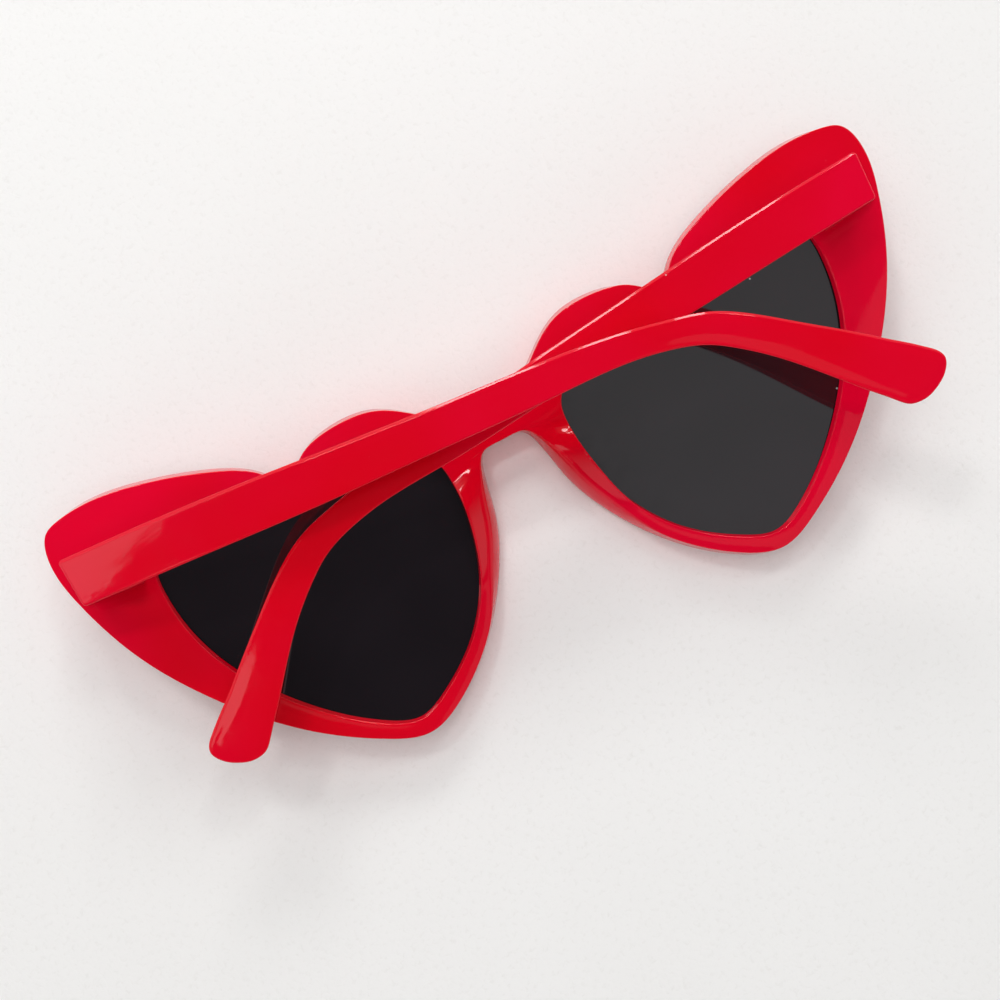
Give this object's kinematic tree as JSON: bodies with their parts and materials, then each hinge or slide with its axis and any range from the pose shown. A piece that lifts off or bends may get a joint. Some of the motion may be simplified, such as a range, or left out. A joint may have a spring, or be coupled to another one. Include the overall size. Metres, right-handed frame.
{
  "type": "heart shaped sunglasses",
  "caption": "Glossy red heart shaped sunglasses with dark lenses, a wrapped moulded front and folded temples on three-barrel hinges.",
  "frame": {"origin": "On the table under the middle of the front: x = 0 is the plane of symmetry of the front, y = 0 its mid height, z = 0 its lowest point.", "axes": "The glasses lie face down as pictured. +X is the wearer's right, +Y is up on the face, +Z points up from the table, to the wearer."},
  "size_m": [0.1456, 0.059, 0.0269],
  "materials": {
    "red_plastic": "polished, opaque, glossy",
    "tinted_lens": "dark grey tint, polished both sides",
    "hinge_metal": "nickel plated, satin",
    "screw_metal": "bare steel, satin"
  },
  "bodies": {
    "front": {"front_frame": "red_plastic", "lens_left": "tinted_lens", "lens_right": "tinted_lens", "front_leaf_left": "hinge_metal", "front_leaf_right": "hinge_metal", "hinge_screw_left": "screw_metal", "hinge_screw_right": "screw_metal"},
    "temple_left": {"temple_left": "red_plastic", "temple_leaf_left": "hinge_metal"},
    "temple_right": {"temple_right": "red_plastic", "temple_leaf_right": "hinge_metal"}
  },
  "joints": [
    {"name": "hinge_left", "type": "hinge", "parent": "front", "child": "temple_left", "pos_m": [-0.06625, 0.0166, 0.01462], "axis": [0, -1, 0], "range_deg": [0, 86.6]},
    {"name": "hinge_right", "type": "hinge", "parent": "front", "child": "temple_right", "pos_m": [0.06625, 0.0166, 0.01462], "axis": [0, 1, 0], "range_deg": [0, 91.5]}
  ]
}
